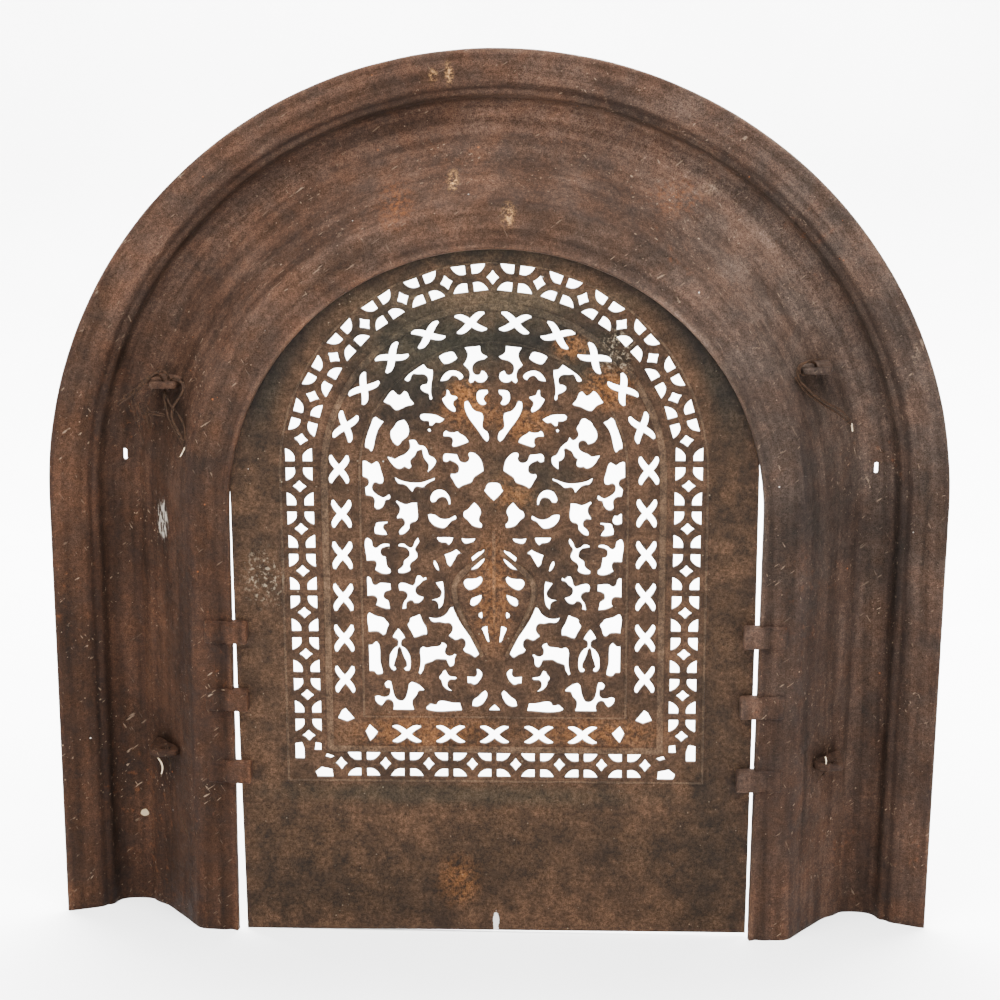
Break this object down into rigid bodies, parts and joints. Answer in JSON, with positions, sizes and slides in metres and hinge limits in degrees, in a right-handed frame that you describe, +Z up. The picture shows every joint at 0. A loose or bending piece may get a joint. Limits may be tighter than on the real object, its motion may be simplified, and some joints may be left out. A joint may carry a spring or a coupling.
{
  "type": "fireplace surround",
  "caption": "Arched cast-iron fireplace surround of ogee section with a pierced scrollwork summer cover standing in its opening, tie ears and holding lugs at the back.",
  "frame": {"origin": "centre of the bounding box in X and Y, at the level of the feet", "axes": "+Z up, +Y toward the room (the moulded front), the rough back of the casting faces -Y, +X to the right seen from the back"},
  "size_m": [0.775, 0.0767, 0.7775],
  "materials": {
    "cast_iron_brown": "rough, rusted, unpainted back of a sand casting",
    "cast_iron_cover": "rough, rusted, dark grey patina near the arch",
    "annealed_wire": "dull rusted soft iron wire"
  },
  "bodies": {
    "root": {"surround": "cast_iron_brown", "summer_cover": "cast_iron_cover", "tie_wire_upper_left": "annealed_wire", "tie_wire_upper_right": "annealed_wire", "tie_wire_lower_left": "annealed_wire", "tie_wire_lower_right": "annealed_wire"}
  },
  "joints": []
}
